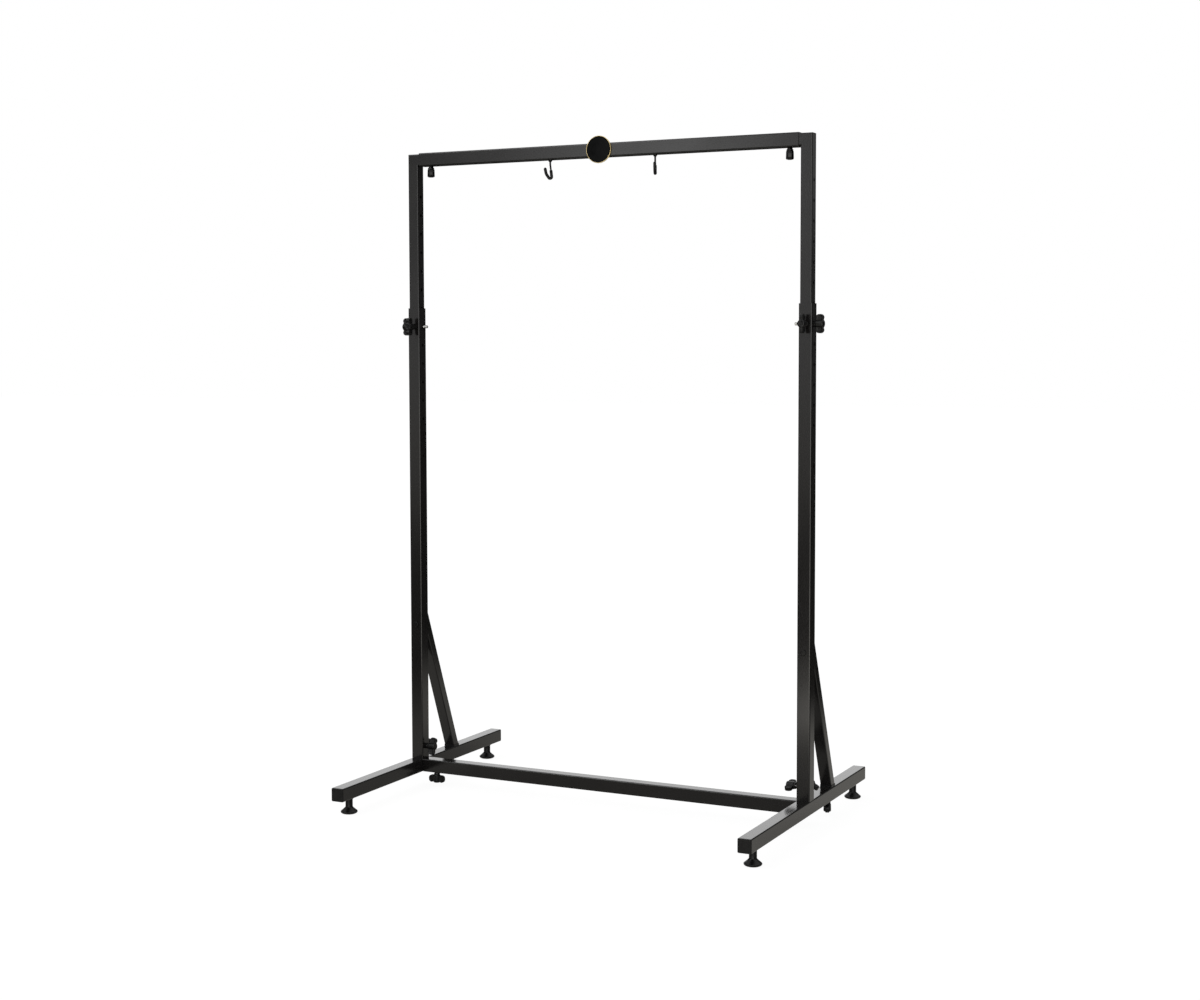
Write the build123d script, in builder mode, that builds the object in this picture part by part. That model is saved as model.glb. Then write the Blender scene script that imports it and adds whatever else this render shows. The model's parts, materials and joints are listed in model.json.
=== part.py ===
from build123d import *
from math import atan2, cos, degrees, radians, sin, tan
import os

# Gong stand of square steel tube, in millimetres. X runs across the stand with the left side at
# minus X, Y runs back from the front, Z is up, and the floor is Z = 0.

# Tube sections: the large tube sleeves over the small one
TUBE = 35.0
TUBE_WALL = 2.45
TUBE_R = 3.0
SLEEVE_GAP = 0.05
SMALL_WALL = 2.0
SMALL_R = 2.5
BORE = TUBE - 2 * TUBE_WALL
BORE_R = 1.5
SMALL = BORE - 2 * SLEEVE_GAP

# Frame
UPRIGHT_X = 560.0
UPRIGHT_Y = -8.0
BAR_LENGTH = 842.0
BAR_LOW = 41.0
COLLAR_TOP = 1312.0
BEAM_Z = 1711.0
BEAM_END_GAP = 5.0
ELBOW_REACH = 60.0
SPIGOT_REACH = 70.0
CROSS_SPIGOT_REACH = 60.0
UPPER_TUBE_BELOW_COLLAR = 400.0
BAR_TOP = BAR_LOW + TUBE
BAR_MID = BAR_LOW + TUBE / 2
BEAM_LOW = BEAM_Z - TUBE / 2

# Index holes and their bolts
PIN_BELOW_COLLAR = 50.0
PIN_Z = COLLAR_TOP - PIN_BELOW_COLLAR
PITCH = 50.0
HOLE_R = 4.5
HOLES_BELOW_COLLAR = 8
UPPER_HOLES_BELOW_PIN = 5
UPPER_HOLES_ABOVE_PIN = 7
PIN_TIP = 11.5

# Wing knobs, their studs and weld nuts
STUD_R = 4.0
STUD_GAP = 0.05
STUD_IN_HEAD = 15.0
STUD_TIP_GAP = 0.1
STUD_CHAMFER = 1.0
NUT_ACROSS = 13.0
NUT_H = 4.0
HEAD_L = 25.0
HUB_R = 9.5
NECK_R = 8.5
NECK_L = 5.0
HUB_ROUND = 2.5
WING_SPAN = 47.0
WING_T = 9.5
WING_LOW = 5.0
WING_TOP_DROP = 0.5
WING_CORNER = 8.0
WING_DENT = 1.2
WING_DENT_R = 3.0
WING_EDGE = 1.8
COLLAR_CLAMP_STAND = 8.5
BEAM_CLAMP_STAND = 4.5
FOOT_CLAMP_STAND = 6.5
CROSS_CLAMP_STAND = 5.0
BRACE_CLAMP_STAND = 6.0
BEAM_CLAMP_X = 512.0
CROSS_CLAMP_X = 508.0
FOOT_CLAMP_ABOVE_BAR = 34.0

# Braces, measured back from the upright's centre
BRACE_WIDE = 30.0
BRACE_DEEP = 25.0
BRACE_WALL = 2.0
BRACE_R = 2.5
BRACE_BORE_R = 1.0
BRACE_FOOT_BACK = 171.0
BRACE_HEAD_Z = 453.0
BRACE_CLAMP_BACK = 168.0
BRACE_STUD_IN_PLUG = 12.0
BRACE_PLUG_L = 40.0
BRACE_PLUG_RIM = 6.0
BRACE_PLUG_LIP = 0.75
BRACE_BOLT_DROP = 4.0
BRACE_BOLT_IN_PLUG = 10.0
BOLT_HEAD_R = 7.0
BOLT_HEAD_H = 4.0

# Levelling feet and end caps
PAD_FROM_END = 55.5
PAD_R = 22.0
PAD_BASE_R = 17.0
PAD_RIM_LOW = 3.5
PAD_RIM_HIGH = 6.5
PAD_NECK_R = 9.5
PAD_NECK_Z = 16.0
PAD_ROUND = 1.2
PAD_GAP = 0.1
PAD_FLOOR = 10.0
FOOT_STUD_IN_BAR = 25.0
INSERT_R = 6.0
INSERT_L = 12.0
FLANGE_R = 11.0
FLANGE_H = 3.0
CAP_T = 3.0
CAP_INSET = 0.3
CAP_EDGE = 1.0
CAP_PLUG_L = 12.0
CAP_PLUG_WALL = 2.0

# Hooks and badge
HOOK_X = 150.0
HOOK_R = 2.4
HOOK_GAP = 0.05
HOOK_NUT_TOP_R = 5.8
HOOK_NUT_LOW_R = 3.4
HOOK_NUT_H = 5.0
HOOK_NUT_LAND = 1.0
HOOK_HEAD_R = 5.0
HOOK_HEAD_H = 4.0
HOOK_SLEEVE_R = 4.1
HOOK_SLEEVE_DROP = 27.0
HOOK_DEPTH = 47.5
HOOK_BEND_R = 4.3
HOOK_SWEEP_R = 20.0
HOOK_TIP_OUT = 15.0
HOOK_TIP_DROP = 22.5
HOOK_CAP_L = 3.8
HOOK_CAP_ROUND = 3.2
HOOK_TURN = {"left": 180.0, "right": -70.0}
BADGE_R = 35.0
BADGE_T = 4.0
BADGE_ABOVE_BEAM_MID = 1.0
BADGE_EDGE = 0.8

SIDES = {"left": -1, "right": 1}
ENDS = {"front": -1, "rear": 1}

os.makedirs("parts", exist_ok=True)


def save(part, name):
    """Label a finished piece and write it as one STEP file."""
    part.label = name
    export_step(part, f"parts/{name}.step")


def tube_run(plane, length, outer, wall, outer_r, bore_r):
    """Add a straight length of square tube that starts on the plane and runs along its normal."""
    with BuildSketch(plane) as section:
        RectangleRounded(outer, outer, outer_r)
        RectangleRounded(outer - 2 * wall, outer - 2 * wall, bore_r, mode=Mode.SUBTRACT)
    extrude(section.sketch, amount=length)


def large_tube(plane, length):
    tube_run(plane, length, TUBE, TUBE_WALL, TUBE_R, BORE_R)


def small_tube(plane, length):
    tube_run(plane, length, SMALL, SMALL_WALL, SMALL_R, SMALL_R - SMALL_WALL)


def drill(plane, depth, spots=((0, 0),), radius=HOLE_R):
    """Drill round holes from the plane, against its normal."""
    with BuildSketch(plane) as holes:
        with Locations(*spots):
            Circle(radius)
    extrude(holes.sketch, amount=-depth, mode=Mode.SUBTRACT)


def face_plane(origin, outward, across):
    """A plane on a tube face whose normal points away from the tube."""
    return Plane(origin=origin, x_dir=across, z_dir=outward)


# Places of the clamps: a plane on the tube face, with the wings along the plane's X
def clamp_places(side):
    s = SIDES[side]
    foot_z = BAR_TOP + FOOT_CLAMP_ABOVE_BAR
    inner_tilt = radians(68.0 if side == "left" else 15.0)
    rear_tilt = radians(-30.0)
    beam_turn = radians(31.0 if side == "left" else 20.0)
    inner_wings = (0, cos(inner_tilt), sin(inner_tilt))
    rear_wings = (cos(rear_tilt), 0, sin(rear_tilt))
    beam_wings = (-sin(beam_turn), cos(beam_turn), 0)
    brace_turn = radians(19.0)
    brace_wings = (-sin(brace_turn), cos(brace_turn), 0)
    return {
        "collar_pin": face_plane((s * (UPRIGHT_X + TUBE / 2), UPRIGHT_Y, PIN_Z), (s, 0, 0), (0, 0, 1)),
        "collar_clamp": face_plane((s * UPRIGHT_X, UPRIGHT_Y - TUBE / 2, PIN_Z), (0, -1, 0), (0, 0, 1)),
        "beam_clamp": face_plane((s * BEAM_CLAMP_X, UPRIGHT_Y, BEAM_LOW), (0, 0, -1), beam_wings),
        "inner_clamp": face_plane((s * (UPRIGHT_X - TUBE / 2), UPRIGHT_Y, foot_z), (-s, 0, 0), inner_wings),
        "rear_clamp": face_plane((s * UPRIGHT_X, UPRIGHT_Y + TUBE / 2, foot_z), (0, 1, 0), rear_wings),
        "cross_clamp": face_plane((s * CROSS_CLAMP_X, UPRIGHT_Y, BAR_LOW), (0, 0, -1), (1, 0, 0)),
        "brace_clamp": face_plane((s * UPRIGHT_X, UPRIGHT_Y + BRACE_CLAMP_BACK, BAR_LOW), (0, 0, -1), brace_wings),
    }


# How far each head stands off its tube face
STAND_OFF = {
    "collar_pin": 0.0,
    "collar_clamp": COLLAR_CLAMP_STAND,
    "beam_clamp": BEAM_CLAMP_STAND,
    "inner_clamp": FOOT_CLAMP_STAND,
    "rear_clamp": FOOT_CLAMP_STAND,
    "cross_clamp": CROSS_CLAMP_STAND,
    "brace_clamp": BRACE_CLAMP_STAND,
}

# How far each stud reaches past the tube face: a clamp stops at the small tube inside
CLAMP_REACH = TUBE_WALL + SLEEVE_GAP - STUD_TIP_GAP
REACH = {name: CLAMP_REACH for name in STAND_OFF}
REACH["collar_pin"] = TUBE + NUT_H + PIN_TIP
REACH["brace_clamp"] = TUBE + BRACE_PLUG_RIM + BRACE_STUD_IN_PLUG

places = {side: clamp_places(side) for side in SIDES}


def knob_head(plane):
    """Moulded wing knob: two scalloped lobes on a round hub, with a blind bore for its stud."""
    out = Axis(plane.origin, plane.z_dir)
    wing_top = HEAD_L - WING_TOP_DROP
    wing_r = WING_SPAN / 2
    dent_r = HUB_R + 2.0
    half = [(wing_r, WING_LOW), (wing_r, wing_top), (dent_r + 2.5, wing_top), (dent_r, wing_top - WING_DENT)]
    outline = half + [(-x, y) for x, y in reversed(half)]
    with BuildPart() as head:
        with BuildSketch(Plane(origin=plane.origin, x_dir=plane.x_dir, z_dir=-plane.y_dir)) as wings:
            with BuildLine():
                Polyline(*outline, close=True)
            make_face()
            columns = wings.vertices().group_by(Axis.X)
            fillet(columns[0] + columns[-1], WING_CORNER)
            fillet(wings.vertices().filter_by(lambda v: abs(v.X) < dent_r + 3), WING_DENT_R)
        extrude(amount=WING_T / 2, both=True)
        fillet(head.faces().filter_by(Axis(plane.origin, plane.y_dir)).edges(), WING_EDGE)
        with BuildSketch(plane):
            Circle(NECK_R)
        extrude(amount=NECK_L)
        with BuildSketch(plane.offset(NECK_L)):
            Circle(HUB_R)
        extrude(amount=HEAD_L - NECK_L)
        rim = head.edges().filter_by(GeomType.CIRCLE).sort_by(out)[-1]
        fillet(rim, HUB_ROUND)
        with BuildSketch(plane):
            Circle(STUD_R)
        extrude(amount=STUD_IN_HEAD, mode=Mode.SUBTRACT)
    return head.part


def knob_stud(plane, reach):
    """Threaded stud from its chamfered tip, reach beyond the plane's underside, into the head."""
    out = Axis(plane.origin, plane.z_dir)
    with BuildPart() as stud:
        with BuildSketch(plane.offset(-reach)):
            Circle(STUD_R)
        extrude(amount=reach + STUD_IN_HEAD)
        chamfer(stud.edges().filter_by(GeomType.CIRCLE).sort_by(out)[0], STUD_CHAMFER)
    return stud.part


def add_nut(plane):
    """Add a hexagonal weld nut that stands on the plane."""
    with BuildSketch(plane) as nut:
        RegularPolygon(radius=NUT_ACROSS / 2, side_count=6, major_radius=False)
        Circle(STUD_R + STUD_GAP, mode=Mode.SUBTRACT)
    extrude(nut.sketch, amount=NUT_H)


# Wing knobs and their studs
for side in SIDES:
    for name, place in places[side].items():
        stand = STAND_OFF[name]
        seat = place.offset(stand)
        save(knob_head(seat), f"{name}_knob_{side}")
        save(knob_stud(seat, stand + REACH[name]), f"{name}_stud_{side}")


# Foot bars, each drilled for its levelling inserts and for the brace's clamp stud
bar_tube_length = BAR_LENGTH - 2 * CAP_T
pad_y = BAR_LENGTH / 2 - PAD_FROM_END

for side, s in SIDES.items():
    with BuildPart() as foot_bar:
        large_tube(Plane(origin=(s * UPRIGHT_X, -bar_tube_length / 2, BAR_MID), x_dir=(1, 0, 0), z_dir=(0, 1, 0)),
                   bar_tube_length)
        under = Plane(origin=(s * UPRIGHT_X, 0, BAR_LOW), x_dir=(1, 0, 0), z_dir=(0, 0, -1))
        drill(under, TUBE / 2, spots=((0, pad_y), (0, -pad_y)), radius=INSERT_R)
        drill(places[side]["brace_clamp"], TUBE)
    save(foot_bar.part, f"foot_bar_{side}")

# End caps: a flange over the tube's end and a hollow plug inside it
with BuildPart() as foot_end_caps:
    for s in SIDES.values():
        for e in ENDS.values():
            end = Plane(origin=(s * UPRIGHT_X, e * bar_tube_length / 2, BAR_MID), x_dir=(1, 0, 0), z_dir=(0, e, 0))
            with BuildSketch(end):
                RectangleRounded(TUBE - 2 * CAP_INSET, TUBE - 2 * CAP_INSET, TUBE_R)
            flange = extrude(amount=CAP_T)
            chamfer(flange.faces().sort_by(Axis((0, 0, 0), (0, e, 0)))[-1].edges(), CAP_EDGE)
            plug = SMALL - 2 * CAP_PLUG_WALL
            with BuildSketch(end):
                RectangleRounded(SMALL, SMALL, SMALL_R)
                RectangleRounded(plug, plug, SMALL_R - CAP_PLUG_WALL, mode=Mode.SUBTRACT)
            extrude(amount=-CAP_PLUG_L)
save(foot_end_caps.part, "foot_end_caps")

# Spigots: small tube welded to each foot bar, one up for the upright and one in for the cross bar
with BuildPart() as base_spigots:
    for s in SIDES.values():
        small_tube(Plane(origin=(s * UPRIGHT_X, UPRIGHT_Y, BAR_TOP)), SPIGOT_REACH)
        inner_face = (s * (UPRIGHT_X - TUBE / 2), UPRIGHT_Y, BAR_MID)
        small_tube(Plane(origin=inner_face, x_dir=(0, 1, 0), z_dir=(-s, 0, 0)), CROSS_SPIGOT_REACH)
save(base_spigots.part, "base_spigots")

# Cross bar between the foot bars
cross_half = UPRIGHT_X - TUBE / 2
with BuildPart() as cross_bar:
    large_tube(Plane(origin=(-cross_half, UPRIGHT_Y, BAR_MID), x_dir=(0, 1, 0), z_dir=(1, 0, 0)), 2 * cross_half)
    for side in SIDES:
        drill(places[side]["cross_clamp"], TUBE / 2)
save(cross_bar.part, "cross_bar")

# Lower uprights, with index holes through both side walls and a hole for each clamp
for side, s in SIDES.items():
    with BuildPart() as lower_upright:
        large_tube(Plane(origin=(s * UPRIGHT_X, UPRIGHT_Y, BAR_TOP)), COLLAR_TOP - BAR_TOP)
        rows = [(-k * PITCH, 0) for k in range(HOLES_BELOW_COLLAR)]
        drill(places[side]["collar_pin"], TUBE, spots=rows)
        for name in ("collar_clamp", "inner_clamp", "rear_clamp"):
            drill(places[side][name], TUBE / 2)
        bolt_z = BRACE_HEAD_Z - BRACE_BOLT_DROP
        bolt_place = face_plane((s * UPRIGHT_X, UPRIGHT_Y - TUBE / 2, bolt_z), (0, -1, 0), (1, 0, 0))
        drill(bolt_place, TUBE)
    save(lower_upright.part, f"lower_upright_{side}")


# Braces: the line of each runs from the foot bar's top up and forward to the upright's rear face
brace_run = BRACE_FOOT_BACK - TUBE / 2
brace_rise = BRACE_HEAD_Z - BAR_TOP
brace_lean = atan2(brace_run, brace_rise)
brace_dir = (0, -sin(brace_lean), cos(brace_lean))
brace_length = (brace_run ** 2 + brace_rise ** 2) ** 0.5
rear_face_y = UPRIGHT_Y + TUBE / 2


def brace_section(s, along, wide, deep, corner):
    """A rectangle square to the brace's line, some way along it."""
    foot = (s * UPRIGHT_X, UPRIGHT_Y + BRACE_FOOT_BACK, BAR_TOP)
    origin = tuple(f + along * d for f, d in zip(foot, brace_dir))
    with BuildSketch(Plane(origin=origin, x_dir=(1, 0, 0), z_dir=brace_dir)) as section:
        RectangleRounded(wide, deep, corner)
    return section.sketch


def trim_brace(low_z):
    """Cut a brace piece level at the foot and flush on the upright's rear face."""
    split(bisect_by=Plane(origin=(0, 0, low_z), z_dir=(0, 0, 1)), keep=Keep.TOP)
    split(bisect_by=Plane(origin=(0, rear_face_y, 0), x_dir=(1, 0, 0), z_dir=(0, 1, 0)), keep=Keep.TOP)


bore_wide = BRACE_WIDE - 2 * BRACE_WALL
bore_deep = BRACE_DEEP - 2 * BRACE_WALL
overrun = 2 * BRACE_DEEP

for side, s in SIDES.items():
    with BuildPart() as brace:
        extrude(brace_section(s, -overrun, BRACE_WIDE, BRACE_DEEP, BRACE_R), amount=brace_length + 3 * overrun)
        extrude(brace_section(s, -overrun, bore_wide, bore_deep, BRACE_BORE_R),
                amount=brace_length + 3 * overrun, mode=Mode.SUBTRACT)
        trim_brace(BAR_TOP + BRACE_PLUG_RIM)
    save(brace.part, f"brace_{side}")

plugs = []
for side, s in SIDES.items():
    with BuildPart() as foot_plug:
        extrude(brace_section(s, -overrun, bore_wide, bore_deep, BRACE_BORE_R), amount=overrun + BRACE_PLUG_L)
        trim_brace(BAR_TOP + BRACE_PLUG_RIM)
        rim_lean = BRACE_PLUG_RIM * tan(brace_lean)
        rim_y = UPRIGHT_Y + BRACE_FOOT_BACK - rim_lean / 2
        with BuildSketch(Plane(origin=(s * UPRIGHT_X, rim_y, BAR_TOP))):
            RectangleRounded(BRACE_WIDE + 2 * BRACE_PLUG_LIP,
                             BRACE_DEEP / cos(brace_lean) + rim_lean + 2 * BRACE_PLUG_LIP, BRACE_R)
        extrude(amount=BRACE_PLUG_RIM)
        drill(places[side]["brace_clamp"].offset(-TUBE), BRACE_PLUG_RIM + BRACE_STUD_IN_PLUG,
              radius=STUD_R + STUD_GAP)
    with BuildPart() as head_plug:
        extrude(brace_section(s, brace_length - BRACE_PLUG_L, bore_wide, bore_deep, BRACE_BORE_R),
                amount=BRACE_PLUG_L + overrun)
        trim_brace(BAR_TOP + BRACE_PLUG_RIM)
        bolt_z = BRACE_HEAD_Z - BRACE_BOLT_DROP
        drill(face_plane((s * UPRIGHT_X, rear_face_y, bolt_z), (0, -1, 0), (1, 0, 0)), BRACE_BOLT_IN_PLUG,
              radius=STUD_R)
    plugs += [foot_plug.part, head_plug.part]

with BuildPart() as brace_plugs:
    add(plugs)
save(brace_plugs.part, "brace_plugs")

# Bolts through the uprights into the braces' head plugs
with BuildPart() as brace_bolts:
    for s in SIDES.values():
        front = face_plane((s * UPRIGHT_X, UPRIGHT_Y - TUBE / 2, BRACE_HEAD_Z - BRACE_BOLT_DROP), (0, -1, 0), (1, 0, 0))
        with BuildSketch(front):
            Circle(BOLT_HEAD_R)
        bolt_head = extrude(amount=BOLT_HEAD_H)
        fillet(bolt_head.edges().sort_by(Axis.Y)[0], 0.4 * BOLT_HEAD_H)
        with BuildSketch(front):
            Circle(STUD_R)
        extrude(amount=-(TUBE + BRACE_BOLT_IN_PLUG))
save(brace_bolts.part, "brace_bolts")

# Weld nuts on the base frame, and the levelling feet's threaded inserts in the foot bars
with BuildPart() as weld_nuts:
    for side, s in SIDES.items():
        for name in ("collar_clamp", "inner_clamp", "rear_clamp", "cross_clamp", "brace_clamp"):
            add_nut(places[side][name])
        add_nut(face_plane((s * (UPRIGHT_X - TUBE / 2), UPRIGHT_Y, PIN_Z), (-s, 0, 0), (0, 0, 1)))
save(weld_nuts.part, "weld_nuts")

with BuildPart() as foot_inserts:
    for s in SIDES.values():
        for e in ENDS.values():
            under = Plane(origin=(s * UPRIGHT_X, e * pad_y, BAR_LOW))
            with BuildSketch(under.offset(-FLANGE_H)):
                Circle(FLANGE_R)
            extrude(amount=FLANGE_H)
            with BuildSketch(under):
                Circle(INSERT_R)
            extrude(amount=INSERT_L)
            drill(under.offset(INSERT_L), INSERT_L + FLANGE_H, radius=STUD_R + STUD_GAP)
save(foot_inserts.part, "foot_inserts")

# Levelling feet: bell-shaped pad on a stud
for side, s in SIDES.items():
    for end_name, e in ENDS.items():
        centre = (s * UPRIGHT_X, e * pad_y, 0)
        neck_top = BAR_LOW - FLANGE_H - PAD_GAP
        with BuildPart() as pad:
            with BuildSketch(Plane(origin=centre, x_dir=(1, 0, 0), z_dir=(0, -1, 0))) as half:
                with BuildLine():
                    Polyline((0, 0), (PAD_BASE_R, 0), (PAD_R, PAD_RIM_LOW), (PAD_R, PAD_RIM_HIGH),
                             (PAD_NECK_R, PAD_NECK_Z), (PAD_NECK_R, neck_top), (STUD_R, neck_top),
                             (STUD_R, PAD_FLOOR), (0, PAD_FLOOR), close=True)
                make_face()
                rim = half.vertices().group_by(Axis.X)[-1]
                fillet(rim, PAD_ROUND)
            revolve(axis=Axis(centre, (0, 0, 1)))
        save(pad.part, f"pad_{end_name}_{side}")
        with BuildPart() as stud:
            with BuildSketch(Plane(origin=centre).offset(PAD_FLOOR)):
                Circle(STUD_R)
            extrude(amount=BAR_LOW + FOOT_STUD_IN_BAR - PAD_FLOOR)
            chamfer(stud.edges().filter_by(GeomType.CIRCLE).sort_by(Axis.Z)[-1], STUD_CHAMFER)
        save(stud.part, f"pad_stud_{end_name}_{side}")


# Upper frame: perforated small tubes and elbow stubs meet at a mitre, and the beam sleeves over the stubs
beam_half = UPRIGHT_X - SMALL / 2 - BEAM_END_GAP

for side, s in SIDES.items():
    mitre = Plane(origin=(s * UPRIGHT_X, UPRIGHT_Y, BEAM_Z), x_dir=(0, 1, 0), z_dir=(s, 0, -1))
    with BuildPart() as upper_tube:
        bottom_z = COLLAR_TOP - UPPER_TUBE_BELOW_COLLAR
        small_tube(Plane(origin=(s * UPRIGHT_X, UPRIGHT_Y, bottom_z)), BEAM_Z + SMALL - bottom_z)
        rows = [(k * PITCH, 0) for k in range(-UPPER_HOLES_BELOW_PIN, UPPER_HOLES_ABOVE_PIN + 1)]
        drill(places[side]["collar_pin"], TUBE, spots=rows)
        split(bisect_by=mitre, keep=Keep.TOP)
    save(upper_tube.part, f"upper_tube_{side}")
    with BuildPart() as elbow:
        stub_end = beam_half - ELBOW_REACH
        small_tube(Plane(origin=(s * stub_end, UPRIGHT_Y, BEAM_Z), x_dir=(0, 1, 0), z_dir=(s, 0, 0)),
                   UPRIGHT_X + SMALL - stub_end)
        split(bisect_by=mitre, keep=Keep.BOTTOM)
    save(elbow.part, f"elbow_{side}")

with BuildPart() as top_beam:
    large_tube(Plane(origin=(-beam_half, UPRIGHT_Y, BEAM_Z), x_dir=(0, 1, 0), z_dir=(1, 0, 0)), 2 * beam_half)
    for side, s in SIDES.items():
        drill(places[side]["beam_clamp"], TUBE / 2)
        under = face_plane((s * HOOK_X, UPRIGHT_Y, BEAM_LOW), (0, 0, -1), (1, 0, 0))
        drill(under, TUBE / 2, radius=HOOK_R + 4 * HOOK_GAP)
save(top_beam.part, "top_beam")

# Weld nuts under the beam for its clamps, and tapered flange nuts bored to let the hooks turn
with BuildPart() as beam_nuts:
    for side, s in SIDES.items():
        add_nut(places[side]["beam_clamp"])
        under = face_plane((s * HOOK_X, UPRIGHT_Y, BEAM_LOW), (0, 0, -1), (1, 0, 0))
        with BuildSketch(under):
            Circle(HOOK_NUT_TOP_R)
        extrude(amount=HOOK_NUT_LAND)
        with BuildSketch(under.offset(HOOK_NUT_LAND)):
            Circle(HOOK_NUT_TOP_R)
        with BuildSketch(under.offset(HOOK_NUT_H)):
            Circle(HOOK_NUT_LOW_R)
        loft()
        drill(under.offset(HOOK_NUT_H), HOOK_NUT_H, radius=HOOK_R + HOOK_GAP)
save(beam_nuts.part, "beam_nuts")


# Hooks: a bent rod hung from a nut inside the beam, sleeved in rubber from below the shank to past its tip
SHANK_FOOT = (-4.5, -HOOK_DEPTH)
SHANK_KINK_DROP = 12.0
shank_slope = SHANK_FOOT[0] / (HOOK_DEPTH - SHANK_KINK_DROP)
sleeve_start = (shank_slope * (HOOK_SLEEVE_DROP - SHANK_KINK_DROP), -HOOK_SLEEVE_DROP)


def hook_route(plane, start, radii):
    """Add the rod's centre line from its start points, round the bend and out to the tip."""
    with BuildLine(plane) as route:
        FilletPolyline(*start, SHANK_FOOT, (3.0, -HOOK_DEPTH), (12.0, -36.0), (HOOK_TIP_OUT, -HOOK_TIP_DROP),
                       radius=radii + [HOOK_BEND_R, HOOK_BEND_R, HOOK_SWEEP_R])
    return route.wires()[0]


def rod_along(path, radius, mode=Mode.ADD):
    """Sweep a round section along a path."""
    with BuildSketch(Plane(origin=path @ 0, z_dir=path % 0)) as section:
        Circle(radius)
    sweep(section.sketch, path=path, mode=mode)


for side, s in SIDES.items():
    turn = radians(HOOK_TURN[side])
    opens = (cos(turn), sin(turn), 0)
    hook_plane = Plane(origin=(s * HOOK_X, UPRIGHT_Y, BEAM_LOW), x_dir=opens, z_dir=(opens[1], -opens[0], 0))
    seat_z = TUBE_WALL + HOOK_GAP
    with BuildPart() as hook:
        shank = [(0, seat_z), (0, -SHANK_KINK_DROP)]
        rod_along(hook_route(hook_plane, shank, [HOOK_SWEEP_R]), HOOK_R)
        with BuildSketch(Plane(origin=(s * HOOK_X, UPRIGHT_Y, BEAM_LOW + seat_z))):
            Circle(HOOK_HEAD_R)
        extrude(amount=HOOK_HEAD_H)
    save(hook.part, f"hook_{side}")
    with BuildPart() as hook_sleeve:
        path = hook_route(hook_plane, [sleeve_start], [])
        rod_along(path, HOOK_SLEEVE_R)
        with BuildSketch(Plane(origin=path @ 1, z_dir=path % 1)) as tip:
            Circle(HOOK_SLEEVE_R)
        extrude(tip.sketch, amount=HOOK_CAP_L)
        cap_rim = hook_sleeve.edges().filter_by(GeomType.CIRCLE).sort_by(Axis(path @ 1, path % 1))[-1]
        fillet(cap_rim, HOOK_CAP_ROUND)
        rod_along(path, HOOK_R, Mode.SUBTRACT)
    save(hook_sleeve.part, f"hook_sleeve_{side}")

# Badge: a plain disc on the beam's front face
with BuildPart() as badge:
    with BuildSketch(face_plane((0, UPRIGHT_Y - TUBE / 2, BEAM_Z + BADGE_ABOVE_BEAM_MID), (0, -1, 0), (1, 0, 0))):
        Circle(BADGE_R)
    extrude(amount=BADGE_T)
    chamfer(badge.edges().sort_by(Axis.Y)[0], BADGE_EDGE)
save(badge.part, "badge")

# Overall size
print("brace lean, degrees:", round(degrees(brace_lean), 2))
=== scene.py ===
import json
from bisect import bisect_right
from math import acos, cos, pi, radians, sin, tan

import bmesh
import bpy
from mathutils import Matrix, Vector


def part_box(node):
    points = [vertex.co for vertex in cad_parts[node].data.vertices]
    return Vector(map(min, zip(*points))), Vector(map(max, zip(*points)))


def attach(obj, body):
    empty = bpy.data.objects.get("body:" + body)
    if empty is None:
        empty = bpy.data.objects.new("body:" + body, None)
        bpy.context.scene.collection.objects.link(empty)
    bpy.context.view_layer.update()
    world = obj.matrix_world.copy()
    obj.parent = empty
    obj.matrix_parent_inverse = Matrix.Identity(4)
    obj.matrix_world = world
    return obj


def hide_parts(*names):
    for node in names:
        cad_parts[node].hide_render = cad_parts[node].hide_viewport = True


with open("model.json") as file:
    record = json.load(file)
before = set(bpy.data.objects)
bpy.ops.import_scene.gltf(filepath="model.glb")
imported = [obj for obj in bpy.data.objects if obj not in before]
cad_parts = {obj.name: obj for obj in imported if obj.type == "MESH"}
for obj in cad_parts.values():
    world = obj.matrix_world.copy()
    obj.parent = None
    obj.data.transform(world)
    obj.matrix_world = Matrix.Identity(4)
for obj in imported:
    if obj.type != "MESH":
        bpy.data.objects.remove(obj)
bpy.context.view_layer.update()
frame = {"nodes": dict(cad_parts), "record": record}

MM = 0.001
UP = Vector((0, 0, 1))
SAME_POINT = 1e-6
SIDES = {"left": -1, "right": 1}
ENDS = ("front", "rear")

# Wing knobs: which way each head stands out on the right side, mirrored in X on the left
KNOB_OUT = {
    "collar_pin": (1, 0, 0),
    "collar_clamp": (0, -1, 0),
    "beam_clamp": (0, 0, -1),
    "inner_clamp": (-1, 0, 0),
    "rear_clamp": (0, 1, 0),
    "cross_clamp": (0, 0, -1),
    "brace_clamp": (0, 0, -1),
}

# How wings lie at rest: tilted up from level at the uprights' feet, turned from front to back under the tubes
INNER_TILT = {"left": radians(68), "right": radians(15)}
REAR_TILT = radians(-30)
BEAM_TURN = {"left": radians(31), "right": radians(20)}
BRACE_TURN = radians(19)

# The one knob moulding: wings with rounded corners, a dip beside the hub and a scoop in each broad side
HEAD_L = 25 * MM
WING_R = 23.5 * MM
WING_T = 9.5 * MM
WING_LOW = 5 * MM
WING_TOP = 24.5 * MM
WING_CORNER = 8 * MM
WING_CORNER_STEPS = 10
WING_TIP_BAND = 1 * MM
DIP_NEAR = 2 * MM
DIP_FAR = 4.5 * MM
DIP_DEPTH = 1.2 * MM
SCOOP_MARGIN = 2.6 * MM
SCOOP_SLOPE = 1.5 * MM
SCOOP_DEPTH = 1.3 * MM
SCOOP_TIP_GAP = 2 * MM
SCOOP_LEAST_AREA = 100 * MM * MM
REMESH_VOXEL = 0.55 * MM

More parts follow.
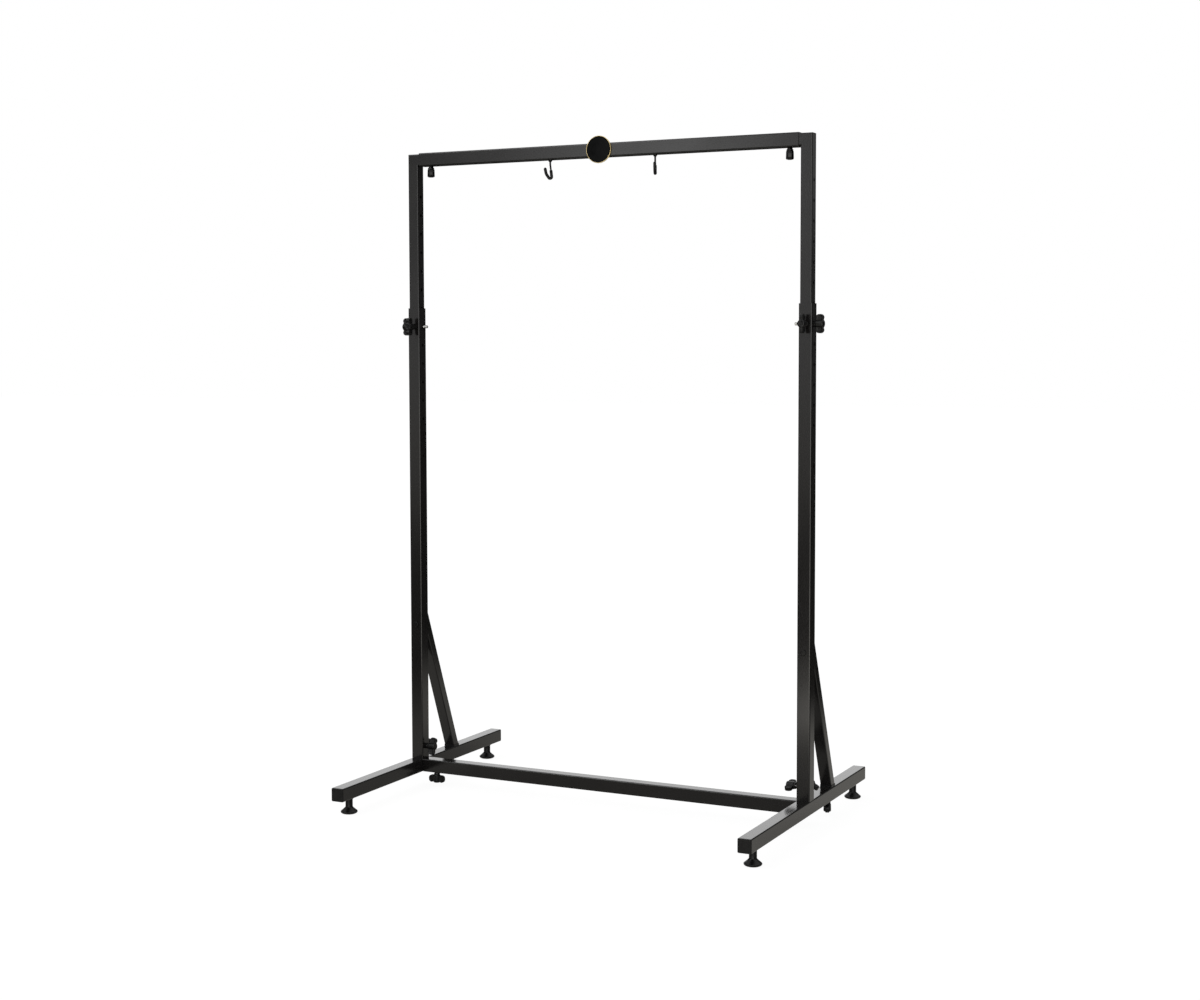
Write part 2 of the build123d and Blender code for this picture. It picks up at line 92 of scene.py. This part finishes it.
# Its hub, as radius and height: the neck on its seat, the swelling body, the rolled edge and the sunk end
HUB_R = 9.5 * MM
NECK_R = 8.5 * MM
HUB_OUTLINE = [
    (0, 0.05 * MM),
    (NECK_R, 0.05 * MM),
    (NECK_R, 4 * MM),
    (HUB_R, 5.5 * MM),
    (HUB_R + 0.4 * MM, HEAD_L - 3 * MM),
    (HUB_R - 0.4 * MM, HEAD_L - 0.8 * MM),
    (HUB_R - 2 * MM, HEAD_L),
    (HUB_R - 3.4 * MM, HEAD_L),
    (HUB_R - 4.2 * MM, HEAD_L - 1.2 * MM),
    (0, HEAD_L - 1.2 * MM),
]

# Levelling pads, in mm: the bell in from its rim and the flare out from the neck, at heights from the floor,
# then the rounded top edge, in from the neck and down from the top
PAD_NECK_R = 9.5 * MM
PAD_BELL = [(5, 0), (2, 1.5), (0.4, 3.2), (0, 4.6), (0.2, 6), (1.4, 7.2), (6, 11)]
PAD_FLARE = [(2.6, 14.6), (0.8, 16.4), (0, 18.4)]
PAD_TOP_EDGE = [(0, 1), (0.6, 0)]
PAD_EDGE_ROUND = 0.4 * MM

# Hooks: the sleeve's route in mm, out from the shank and down from the beam, with the radii of its bends
SLEEVE_R = 4.1 * MM
SLEEVE_ROUTE = [(-1.9, -27.0), (-4.5, -47.5), (3.0, -47.5), (12.0, -36.0), (15.0, -22.5)]
SLEEVE_BENDS = [4.3, 4.3, 20.0]
SLEEVE_SIDES = 28
BEND_STEPS = 24
HOOK_TURN = {"left": radians(180), "right": radians(-70)}
RIB_PITCH = 2.0 * MM
RIB_DEPTH = 0.35 * MM
RINGS_PER_RIB = 6
TIP_DEGREES = (15, 30, 45, 60, 75, 88)

# Badge, in mm: in from the edge and up from the back, in from the edge and down from the front, and the dome's
# drop from the front at shares of the radius
BADGE_BACK = [(0.5, 0), (0, 0.6)]
BADGE_RIM = [(0, 0.9), (0.35, 0.25), (0.65, 0.02), (1.3, 0.3), (1.6, 0.9), (4, 0.9)]
BADGE_DOME = [(0.5, 0.6), (0, 0.5)]
BADGE_GOLD_WIDTH = 1.4 * MM
BADGE_GOLD_FROM = 0.5 * MM

# Stud threads: M8 coarse
THREAD_PITCH = 1.25 * MM

# Camera: fitted to the straight edges of the tubes
CAMERA_AT = (2.13613, -4.42481, 1.21532)
CAMERA_AZIMUTH = radians(26.89)
CAMERA_PITCH = radians(3.70)
CAMERA_ROLL = radians(-0.18)
LENS_MM = 56.676
SENSOR_MM = 36
SHIFT = (0.02747, -0.0286)


def azimuth(degrees, rise=0.0):
    """Unit direction at an angle from +X towards +Y, with a rise for each metre along."""
    return Vector((cos(radians(degrees)), sin(radians(degrees)), rise)).normalized()


# Studio, as reflections see it: a white sweep behind the stand, a soft source beside the camera with a bright
# patch in it, a source further round that draws the corners, a low one at the far side and light overhead
SWEEP = Vector((-sin(CAMERA_AZIMUTH), cos(CAMERA_AZIMUTH), 0))
SOFTBOX = azimuth(-112)
PATCH = azimuth(-114, rise=0.1)
CORNER_SOURCE = azimuth(-68)
SIDE = azimuth(74)
SWEEP_LEVEL = 1.45
SOFTBOX_LEVEL = 0.85
SOFTBOX_DROP = 0.52
PATCH_LEVEL = 2.6
CORNER_LEVEL = 2.2
SIDE_LEVEL = 0.26
OVERHEAD_LEVEL = 0.9
ROOM_LEVEL = 0.05
DIFFUSE_LIGHT = 0.55

# Floor, as reflections see it: a warm-tinted glow with painted shade under the stand, painted light round it and
# far in front, and a painted patch of the corner source's light
FLOOR_HALF = 30
FLOOR_SHADE_UNDER = 0.27
FLOOR_LIGHT_ROUND = 0.2
FLOOR_LIGHT_FRONT = 0.62
FLOOR_CORNER_POOL = 3.0
FLOOR_LEAST = 0.02
FLOOR_WARMTH = (1, 0.97, 0.9)
FLOOR_WHITE = 1.16
FLOOR_GLOW_SHARE = 0.8
FLOOR_PAINT = 0.8

# Key lamp, high on the camera's left
KEY_AT = Vector((-2.2, -3.4, 3.6))
KEY_AIM = Vector((0, 0, 0.9))
KEY_SIZE = 1.6
KEY_WATTS = 40


class Value:
    """A shader value that takes Python arithmetic, adding its Math nodes to its tree."""

    def __init__(self, tree, socket):
        self.tree = tree
        self.socket = socket

    def math(self, operation, a, b):
        return self.tree.node("ShaderNodeMath", {"operation": operation}, {0: a, 1: b})

    def __add__(self, other):
        return self.math("ADD", self, other)

    def __sub__(self, other):
        return self.math("SUBTRACT", self, other)

    def __rsub__(self, other):
        return self.math("SUBTRACT", other, self)

    def __mul__(self, other):
        return self.math("MULTIPLY", self, other)

    __radd__ = __add__
    __rmul__ = __mul__

    def highest(self, other):
        return self.math("MAXIMUM", self, other)

    def smooth(self, low, high):
        """0 below low, 1 above high, eased between."""
        settings = {"interpolation_type": "SMOOTHSTEP"}
        inputs = {"Value": self, "From Min": low, "From Max": high}
        return self.tree.node("ShaderNodeMapRange", settings, inputs)


class Tree:
    """A node tree: a material's or the world's."""

    def __init__(self, graph):
        self.graph = graph
        self.graph.nodes.clear()

    def node(self, kind, settings=None, inputs=None, output=0):
        new = self.graph.nodes.new(kind)
        for key, value in (settings or {}).items():
            setattr(new, key, value)
        for key, value in (inputs or {}).items():
            self.feed(new.inputs[key], value)
        return Value(self, new.outputs[output])

    def feed(self, socket, value):
        if isinstance(value, Value):
            self.graph.links.new(value.socket, socket)
        else:
            socket.default_value = value

    def close(self, kind, shader):
        """Lead a shader into the tree's output."""
        self.feed(self.graph.nodes.new(kind).inputs[0], shader)

    def place(self):
        """Object coordinates, in metres."""
        return self.node("ShaderNodeTexCoord", output="Object")

    def noise(self, scale, detail=2.0, roughness=0.5):
        """Noise in space: scale 1000 is a feature of about a millimetre."""
        inputs = {"Vector": self.place(), "Scale": scale, "Detail": detail, "Roughness": roughness}
        return self.node("ShaderNodeTexNoise", inputs=inputs)

    def mix(self, amount, low, high):
        """Blend two colours: they are a Mix node's inputs 6 and 7 and its output 2."""
        inputs = {0: amount, 6: colour(low), 7: colour(high)}
        return self.node("ShaderNodeMix", {"data_type": "RGBA"}, inputs, output=2)

    def bump(self, height, distance, strength):
        return self.node("ShaderNodeBump", inputs={"Height": height, "Distance": distance, "Strength": strength})

    def facing(self, direction, target):
        """Cosine of the angle between a direction and a fixed one."""
        return self.node("ShaderNodeVectorMath", {"operation": "DOT_PRODUCT"}, {0: direction, 1: target},
                         output="Value")

    def rays(self):
        """Masks of the rays that see plain white, and of the reflections among the others."""
        path = self.graph.nodes.new("ShaderNodeLightPath")
        camera, through, glossy = (Value(self, path.outputs[f"Is {kind} Ray"])
                                   for kind in ("Camera", "Transmission", "Glossy"))
        plain = camera.highest(through)
        return plain, glossy * (1 - plain)


def colour(value):
    """An RGBA default from RGB or a grey, or the link itself."""
    if isinstance(value, Value):
        return value
    if isinstance(value, (int, float)):
        return (value, value, value, 1)
    return (*value, 1)


class Finish(Tree):
    """A material with one Principled shader."""

    def __init__(self, name, **fixed):
        self.material = bpy.data.materials.new(name)
        self.material.use_nodes = True
        super().__init__(self.material.node_tree)
        self.shader = self.graph.nodes.new("ShaderNodeBsdfPrincipled")
        self.close("ShaderNodeOutputMaterial", Value(self, self.shader.outputs[0]))
        self.set(**fixed)

    def set(self, **sockets):
        for name, value in sockets.items():
            self.feed(self.shader.inputs[name.replace("_", " ")], value)


def powder_coat():
    """Black satin powder coat: a fine orange peel, faint cloudiness and a little dust."""
    coat = Finish("powder_coat")
    cloud = coat.noise(9, detail=4)
    grain = coat.noise(620, detail=3, roughness=0.6)
    peel = coat.noise(260, detail=1)
    dust = coat.noise(1500, detail=0).smooth(0.74, 0.8)
    black = coat.mix(cloud, (0.0067, 0.0061, 0.0058), (0.0132, 0.0121, 0.0115))
    coat.set(
        Base_Color=coat.mix(dust * 0.5, black, 0.06),
        Roughness=cloud * 0.08 + grain * 0.06 + 0.1,
        Normal=coat.bump(grain * 0.35 + peel * 0.65, 0.06 * MM, 0.5),
    )
    return coat.material


def moulded_plastic():
    """Black moulded plastic for knobs, pads and caps: a light texture with shinier rubbed patches."""
    plastic = Finish("moulded_plastic", Specular_IOR_Level=0.3)
    texture = plastic.noise(1100, detail=2)
    rub = plastic.noise(60, detail=3).smooth(0.4, 0.7)
    plastic.set(
        Base_Color=plastic.mix(rub, 0.003, 0.007),
        Roughness=0.38 - rub * 0.12 + texture * 0.08,
        Normal=plastic.bump(texture, 0.06 * MM, 0.6),
    )
    return plastic.material


def zinc_plate(name, axis):
    """Bright zinc on a threaded stud, with its thread drawn as a bump along the stud's axis."""
    zinc = Finish(name, Metallic=1.0)
    stain = zinc.noise(180, detail=4)
    along = zinc.node("ShaderNodeSeparateXYZ", inputs={"Vector": zinc.place()}, output=axis)
    ridge = zinc.node("ShaderNodeMath", {"operation": "PINGPONG"}, {0: along * (1 / THREAD_PITCH), 1: 0.5})
    zinc.set(
        Base_Color=zinc.mix(stain, (0.5, 0.5, 0.49), (0.78, 0.78, 0.76)),
        Roughness=stain * 0.2 + 0.16,
        Normal=zinc.bump(ridge * 2, 0.4 * MM, 0.7),
    )
    return zinc.material


def blackened_steel():
    """Black oxide on nuts, bolts and the hook rods, thinned where it catches."""
    steel = Finish("blackened_steel", Metallic=0.6)
    worn = steel.noise(240, detail=4).smooth(0.52, 0.78)
    steel.set(
        Base_Color=steel.mix(worn, 0.008, (0.05, 0.049, 0.045)),
        Roughness=0.36 - worn * 0.12,
        Normal=steel.bump(steel.noise(900), 0.04 * MM, 0.5),
    )
    return steel.material


def black_rubber():
    """Matt black rubber, a little grey where it is dusty."""
    rubber = Finish("black_rubber", Specular_IOR_Level=0.3)
    dust = rubber.noise(300, detail=4).smooth(0.45, 0.75)
    rubber.set(
        Base_Color=rubber.mix(dust, 0.002, 0.006),
        Roughness=dust * 0.15 + 0.52,
        Normal=rubber.bump(rubber.noise(1400), 0.05 * MM, 0.5),
    )
    return rubber.material


def badge_gloss():
    """Gloss black face of the badge."""
    gloss = Finish("badge_gloss", Coat_Roughness=0.05, Specular_IOR_Level=0.02)
    haze = gloss.noise(90, detail=3)
    gloss.set(
        Base_Color=gloss.mix(haze, 0.003, 0.006),
        Roughness=haze * 0.06 + 0.1,
        Coat_Weight=haze * 0.04,
        Normal=gloss.bump(gloss.noise(40), 0.1 * MM, 0.15),
    )
    return gloss.material


def badge_gold():
    """Brushed gold rim of the badge."""
    gold = Finish("badge_gold", Metallic=0.6)
    brushed = gold.noise(800, detail=3)
    gold.set(
        Base_Color=gold.mix(brushed, (0.78, 0.6, 0.26), (0.95, 0.78, 0.42)),
        Roughness=brushed * 0.15 + 0.3,
        Normal=gold.bump(brushed, 0.04 * MM, 0.5),
    )
    return gold.material


COAT = powder_coat()
PLASTIC = moulded_plastic()
ZINC = [zinc_plate(f"zinc_plate_{axis}", index) for index, axis in enumerate("xyz")]
OXIDE = blackened_steel()
RUBBER = black_rubber()
GLOSS = badge_gloss()
GOLD = badge_gold()


def box_of(node):
    """Low and high corners of a CAD node."""
    return [Vector(corner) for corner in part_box(node)]


def joint_place(name):
    """A joint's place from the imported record."""
    for joint in frame["record"]["behaviour"]["joints"]:
        if joint["name"] == name:
            return joint["pos_m"]
    raise ValueError(name)


def dress(node, material):
    """Give a CAD node its finish."""
    for slot in frame["nodes"][node].material_slots:
        slot.material = material


def piece(name, mesh, materials, body, *nodes):
    """Put a finished mesh in the scene: it rides on a body and stands for CAD nodes."""
    for material in materials:
        mesh.materials.append(material)
    made = bpy.data.objects.new(name, mesh)
    bpy.context.scene.collection.objects.link(made)
    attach(made, body)
    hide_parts(*nodes)
    return made


def finished(bm, name, smooth=True):
    """Close a bmesh into a mesh, with its faces outwards."""
    bmesh.ops.remove_doubles(bm, verts=bm.verts, dist=SAME_POINT)
    bmesh.ops.recalc_face_normals(bm, faces=bm.faces)
    for face in bm.faces:
        face.smooth = smooth
    mesh = bpy.data.meshes.new(name)
    bm.to_mesh(mesh)
    bm.free()
    return mesh


def applied(mesh, *modifiers):
    """The mesh after its modifiers, each given as a type and its settings."""
    shaper = bpy.data.objects.new("shaper", mesh)
    bpy.context.scene.collection.objects.link(shaper)
    for kind, settings in modifiers:
        modifier = shaper.modifiers.new(kind, kind)
        for key, value in settings.items():
            setattr(modifier, key, value)
    graph = bpy.context.evaluated_depsgraph_get()
    result = bpy.data.meshes.new_from_object(shaper.evaluated_get(graph))
    bpy.data.objects.remove(shaper)
    return result


def spun(outline, steps=48):
    """A bmesh of revolution about Z from points of radius and height, closed where they meet the axis."""
    bm = bmesh.new()
    points = [bm.verts.new((r, 0, z)) for r, z in outline]
    edges = [bm.edges.new(pair) for pair in zip(points, points[1:])]
    bmesh.ops.spin(bm, geom=points + edges, cent=(0, 0, 0), axis=UP, angle=2 * pi, steps=steps, use_merge=True)
    bmesh.ops.remove_doubles(bm, verts=bm.verts, dist=SAME_POINT)
    return bm


def wings_mesh():
    """Both wings along X, with the dips that the hub stands between and a scoop in each broad side."""
    half = [(WING_R, WING_LOW), (WING_R, WING_TOP), (HUB_R + DIP_FAR, WING_TOP),
            (HUB_R + DIP_NEAR, WING_TOP - DIP_DEPTH)]
    outline = half + [(-x, z) for x, z in reversed(half)]
    bm = bmesh.new()
    plate = bm.faces.new([bm.verts.new((x, -WING_T / 2, z)) for x, z in outline])
    grown = bmesh.ops.extrude_face_region(bm, geom=[plate])["geom"]
    far = [part for part in grown if isinstance(part, bmesh.types.BMVert)]
    bmesh.ops.translate(bm, verts=far, vec=(0, WING_T, 0))
    corners = [e for e in bm.edges if all(abs(v.co.x) > WING_R - WING_TIP_BAND for v in e.verts)
               and abs(e.verts[0].co.y - e.verts[1].co.y) > WING_T / 2]
    bmesh.ops.bevel(bm, geom=corners, offset=WING_CORNER, segments=WING_CORNER_STEPS, profile=0.5,
                    affect="EDGES", material=-1)
    broad = [f for f in bm.faces if abs(f.normal.y) > 0.9]
    bmesh.ops.recalc_face_normals(bm, faces=bm.faces)
    bmesh.ops.inset_region(bm, faces=broad, thickness=SCOOP_MARGIN, depth=0)
    scoops = [f for f in bm.faces if abs(f.normal.y) > 0.9 and f.calc_area() > SCOOP_LEAST_AREA
              and all(abs(v.co.x) < WING_R - SCOOP_TIP_GAP for v in f.verts)]
    bmesh.ops.inset_region(bm, faces=scoops, thickness=SCOOP_SLOPE, depth=-SCOOP_DEPTH)
    return finished(bm, "wings")


def knob_mesh():
    """Wing knob head on Z: wings and hub run together as one moulding."""
    hub = spun(HUB_OUTLINE)
    hub.from_mesh(wings_mesh())
    return applied(
        finished(hub, "knob_blank"),
        ("REMESH", {"mode": "VOXEL", "voxel_size": REMESH_VOXEL, "use_smooth_shade": True}),
        ("SMOOTH", {"factor": 0.5, "iterations": 5}),
    )


def knobs():
    """Fourteen wing knobs from one moulding, each turned as it lies at rest."""
    moulding = knob_mesh()
    for side, s in SIDES.items():
        wings_along = {
            "collar_pin": UP,
            "collar_clamp": UP,
            "beam_clamp": Vector((-sin(BEAM_TURN[side]), cos(BEAM_TURN[side]), 0)),
            "inner_clamp": Vector((0, cos(INNER_TILT[side]), sin(INNER_TILT[side]))),
            "rear_clamp": Vector((cos(REAR_TILT), 0, sin(REAR_TILT))),
            "cross_clamp": Vector((1, 0, 0)),
            "brace_clamp": Vector((-sin(BRACE_TURN), cos(BRACE_TURN), 0)),
        }
        for name, (x, y, z) in KNOB_OUT.items():
            node = f"{name}_knob_{side}"
            out = Vector((x * s, y, z))
            along = wings_along[name]
            low, high = box_of(node)
            seat = (low + high) / 2 - out * HEAD_L / 2
            turned = Matrix((along, out.cross(along), out)).transposed().to_4x4()
            mesh = moulding.copy()
            mesh.transform(Matrix.Translation(seat) @ turned)
            piece(f"{name}_wing_{side}", mesh, [PLASTIC], f"{name}_{side}", node)
            stud_axis = max(range(3), key=lambda i: abs(out[i]))
            dress(f"{name}_stud_{side}", ZINC[stud_axis])


def pad_outline(r, top):
    """A pad's outline, from the middle of its sole over the rim and the neck to the middle of its top."""
    bell = [(r - inward * MM, z * MM) for inward, z in PAD_BELL]
    flare = [(PAD_NECK_R + outward * MM, z * MM) for outward, z in PAD_FLARE]
    edge = [(PAD_NECK_R - inward * MM, top - drop * MM) for inward, drop in PAD_TOP_EDGE]
    return [(0, 0), *bell, *flare, *edge, (0, top)]


def pads():
    """Bell-shaped levelling pads with a rolled rim and a stepped neck."""
    for side in SIDES:
        for end in ENDS:
            node = f"pad_{end}_{side}"
            low, high = box_of(node)
            mesh = finished(spun(pad_outline((high.x - low.x) / 2, high.z - low.z), steps=64), node)
            mesh.transform(Matrix.Translation(((low.x + high.x) / 2, (low.y + high.y) / 2, low.z)))
            made = piece(f"bell_{end}_{side}", mesh, [PLASTIC], f"foot_{end}_{side}", node)
            edge = made.modifiers.new("edge", "BEVEL")
            edge.width = PAD_EDGE_ROUND
            edge.segments = 3
            edge.limit_method = "ANGLE"
            dress(f"pad_stud_{end}_{side}", ZINC[2])


def rounded(points, radii, steps):
    """A flat route through points, its inner corners rounded to the given radii."""
    route = [points[0]]
    for before, corner, after, radius in zip(points, points[1:], points[2:], radii):
        back = (before - corner).normalized()
        ahead = (after - corner).normalized()
        inside = acos(back.dot(ahead))
        start = corner + back * radius / tan(inside / 2)
        centre = corner + (back + ahead).normalized() * radius / sin(inside / 2)
        spoke = start - centre
        turn = (pi - inside) * (1 if back.cross(ahead) < 0 else -1)
        for k in range(steps + 1):
            route.append(centre + Matrix.Rotation(turn * k / steps, 2) @ spoke)
    route.append(points[-1])
    return route


def evenly_along(route, count):
    """Points at equal distances along a flat route."""
    reached = [0.0]
    for a, b in zip(route, route[1:]):
        reached.append(reached[-1] + (b - a).length)
    points = []
    for k in range(count + 1):
        distance = reached[-1] * k / count
        leg = min(bisect_right(reached, distance), len(route) - 1)
        part = (distance - reached[leg - 1]) / (reached[leg] - reached[leg - 1])
        points.append(route[leg - 1].lerp(route[leg], part))
    return points


def sleeve_rings():
    """The sleeve's rings: centre, direction and radius of each along the flat route, then the domed tip."""
    route = rounded([Vector(p) * MM for p in SLEEVE_ROUTE], [r * MM for r in SLEEVE_BENDS], BEND_STEPS)
    length = sum((b - a).length for a, b in zip(route, route[1:]))
    points = evenly_along(route, int(length / RIB_PITCH) * RINGS_PER_RIB)
    rings = []
    for k, point in enumerate(points):
        ahead = points[min(k + 1, len(points) - 1)] - points[max(k - 1, 0)]
        swell = (1 - cos(2 * pi * k / RINGS_PER_RIB)) / 2
        rings.append((point, ahead.normalized(), SLEEVE_R - RIB_DEPTH * (1 - swell)))
    tip, ahead, radius = rings[-1]
    for angle in map(radians, TIP_DEGREES):
        rings.append((tip + ahead * radius * sin(angle), ahead, radius * cos(angle)))
    return rings


def ring_matrix(origin, opens, ring):
    """Place of a unit ring on a hook that opens one way from its origin."""
    point, ahead, radius = ring
    along = opens * ahead.x + UP * ahead.y
    across = UP * ahead.x - opens * ahead.y
    turned = Matrix((across * radius, along.cross(across) * radius, along)).transposed().to_4x4()
    return Matrix.Translation(origin + opens * point.x + UP * point.y) @ turned


def hooks():
    """Ribbed rubber sleeves, each extruded ring by ring along its rod's route."""
    rings = sleeve_rings()
    beam_low = box_of("top_beam")[0].z
    for side in SIDES:
        x, y, _ = joint_place(f"hook_{side}_swivel")
        origin = Vector((x, y, beam_low))
        opens = Vector((cos(HOOK_TURN[side]), sin(HOOK_TURN[side]), 0))
        places = [ring_matrix(origin, opens, ring) for ring in rings]
        bm = bmesh.new()
        verts = bmesh.ops.create_circle(bm, cap_ends=True, segments=SLEEVE_SIDES, radius=1,
                                        matrix=places[0])["verts"]
        edges = list(bm.edges)
        for before, after in zip(places, places[1:]):
            grown = bmesh.ops.extrude_edge_only(bm, edges=edges)["geom"]
            verts = [part for part in grown if isinstance(part, bmesh.types.BMVert)]
            edges = [part for part in grown if isinstance(part, bmesh.types.BMEdge)
                     and all(v in verts for v in part.verts)]
            bmesh.ops.transform(bm, matrix=after @ before.inverted(), verts=verts)
        bmesh.ops.pointmerge(bm, verts=verts, merge_co=places[-1].translation)
        piece(f"sleeve_{side}", finished(bm, "sleeve"), [RUBBER], f"hook_{side}", f"hook_sleeve_{side}")
        dress(f"hook_{side}", OXIDE)


def badge_outline(r, thick):
    """The badge's outline, from the middle of its back over the rim to the middle of its domed face."""
    back = [(r - inward * MM, z * MM) for inward, z in BADGE_BACK]
    rim = [(r - inward * MM, thick - drop * MM) for inward, drop in BADGE_RIM]
    dome = [(r * share, thick - drop * MM) for share, drop in BADGE_DOME]
    return [(0, 0), *back, *rim, *dome]


def badge():
    """Plain badge: a gloss disc, very slightly domed, in a thin gold rim."""
    low, high = box_of("badge")
    r = (high.x - low.x) / 2
    bm = spun(badge_outline(r, high.y - low.y), steps=128)
    for face in bm.faces:
        middle = face.calc_center_median()
        face.material_index = int(middle.to_2d().length > r - BADGE_GOLD_WIDTH and middle.z > BADGE_GOLD_FROM)
    mesh = finished(bm, "badge_disc")
    mesh.transform(Matrix.Translation(((low.x + high.x) / 2, high.y, (low.z + high.z) / 2))
                   @ Matrix.Rotation(pi / 2, 4, "X"))
    piece("badge_disc", mesh, [GLOSS, GOLD], "upper_frame", "badge")


def frame_tubes():
    """Finishes of the CAD nodes that keep their shape."""
    one_each = ["cross_bar", "base_spigots", "top_beam"]
    one_a_side = ["foot_bar", "lower_upright", "brace", "upper_tube", "elbow"]
    for node in one_each + [f"{name}_{side}" for name in one_a_side for side in SIDES]:
        dress(node, COAT)
    for node in ("weld_nuts", "foot_inserts", "brace_bolts", "beam_nuts"):
        dress(node, OXIDE)
    for node in ("foot_end_caps", "brace_plugs"):
        dress(node, PLASTIC)


def camera():
    data = bpy.data.cameras.new("camera")
    data.lens = LENS_MM
    data.sensor_width = SENSOR_MM
    data.shift_x, data.shift_y = SHIFT
    view = bpy.data.objects.new("camera", data)
    turn = (Matrix.Rotation(CAMERA_AZIMUTH, 4, "Z") @ Matrix.Rotation(pi / 2 - CAMERA_PITCH, 4, "X")
            @ Matrix.Rotation(CAMERA_ROLL, 4, "Z"))
    view.matrix_world = Matrix.Translation(CAMERA_AT) @ turn
    bpy.context.scene.collection.objects.link(view)
    bpy.context.scene.camera = view


def studio_world():
    """White to the camera, the studio's sources to reflections and an even light to everything else."""
    world = bpy.data.worlds.new("studio")
    world.use_nodes = True
    bpy.context.scene.world = world
    sky = Tree(world.node_tree)
    direction = sky.node("ShaderNodeTexCoord", output="Generated")
    height = sky.facing(direction, UP)
    sweep = sky.facing(direction, SWEEP).smooth(0.8, 0.92) * height.smooth(0.05, 0.13) * SWEEP_LEVEL
    dimming = height.smooth(0, 0.08) * SOFTBOX_DROP
    softbox = sky.facing(direction, SOFTBOX).smooth(0.82, 0.93) * (SOFTBOX_LEVEL - dimming)
    patch = sky.facing(direction, PATCH).smooth(0.9965, 0.9996) * PATCH_LEVEL
    corner = sky.facing(direction, CORNER_SOURCE).smooth(0.84, 0.95) * CORNER_LEVEL
    side = sky.facing(direction, SIDE).smooth(0.97, 0.995) * height.smooth(0.03, 0.1) * SIDE_LEVEL
    overhead = height.smooth(0.45, 0.7) * OVERHEAD_LEVEL
    room = sweep.highest(softbox + patch).highest(corner).highest(side).highest(overhead).highest(ROOM_LEVEL)
    plain, mirrored = sky.rays()
    lit = (1 - plain.highest(mirrored)) * DIFFUSE_LIGHT
    strength = plain + mirrored * room + lit
    sky.close("ShaderNodeOutputWorld",
              sky.node("ShaderNodeBackground", inputs={"Color": (1, 1, 1, 1), "Strength": strength}))


def floor():
    """Floor that the camera sees as white with a faint shadow, and reflections as a glow of painted light and
    shade standing in for the studio's floor.
    """
    bm = bmesh.new()
    bmesh.ops.create_grid(bm, x_segments=1, y_segments=1, size=FLOOR_HALF)
    mesh = finished(bm, "floor", smooth=False)
    ground = bpy.data.objects.new("floor", mesh)
    bpy.context.scene.collection.objects.link(ground)
    material = bpy.data.materials.new("white_floor")
    material.use_nodes = True
    tree = Tree(material.node_tree)
    heading = tree.node("ShaderNodeVectorMath", {"operation": "NORMALIZE"}, {0: tree.place()})
    away = tree.node("ShaderNodeVectorMath", {"operation": "LENGTH"}, {0: tree.place()}, output="Value")
    # Painted shade under the stand, painted light round it and far in front, and a painted patch of the corner
    # source's light, all seen only in reflections
    painted_light_near = (1 - away.smooth(1.1, 2.2)) * (away.smooth(0.5, 0.75) * FLOOR_LIGHT_ROUND + FLOOR_SHADE_UNDER)
    front = tree.facing(heading, SOFTBOX).smooth(0.7, 0.9) * away.smooth(4.0, 14.0) * FLOOR_LIGHT_FRONT
    corner = tree.facing(heading, CORNER_SOURCE).smooth(0.88, 0.96) * away.smooth(1.0, 1.6) * FLOOR_CORNER_POOL
    plain, mirrored = tree.rays()
    strength = plain * FLOOR_WHITE + (1 - plain) * (painted_light_near + front + corner + FLOOR_LEAST)
    glow = tree.node("ShaderNodeEmission",
                     inputs={"Color": tree.mix(plain, FLOOR_WARMTH, 1.0), "Strength": strength})
    paint = tree.node("ShaderNodeBsdfDiffuse", inputs={"Color": colour(FLOOR_PAINT)})
    share = plain * FLOOR_GLOW_SHARE + mirrored
    tree.close("ShaderNodeOutputMaterial", tree.node("ShaderNodeMixShader", inputs={0: share, 1: paint, 2: glow}))
    mesh.materials.append(material)


def key_lamp():
    data = bpy.data.lights.new("key", "AREA")
    data.energy = KEY_WATTS
    data.size = KEY_SIZE
    key = bpy.data.objects.new("key", data)
    key.location = KEY_AT
    key.rotation_euler = (KEY_AIM - KEY_AT).to_track_quat("-Z", "Y").to_euler()
    bpy.context.scene.collection.objects.link(key)


frame_tubes()
knobs()
pads()
hooks()
badge()
camera()
studio_world()
floor()
key_lamp()
bpy.context.scene.view_settings.view_transform = "Standard"
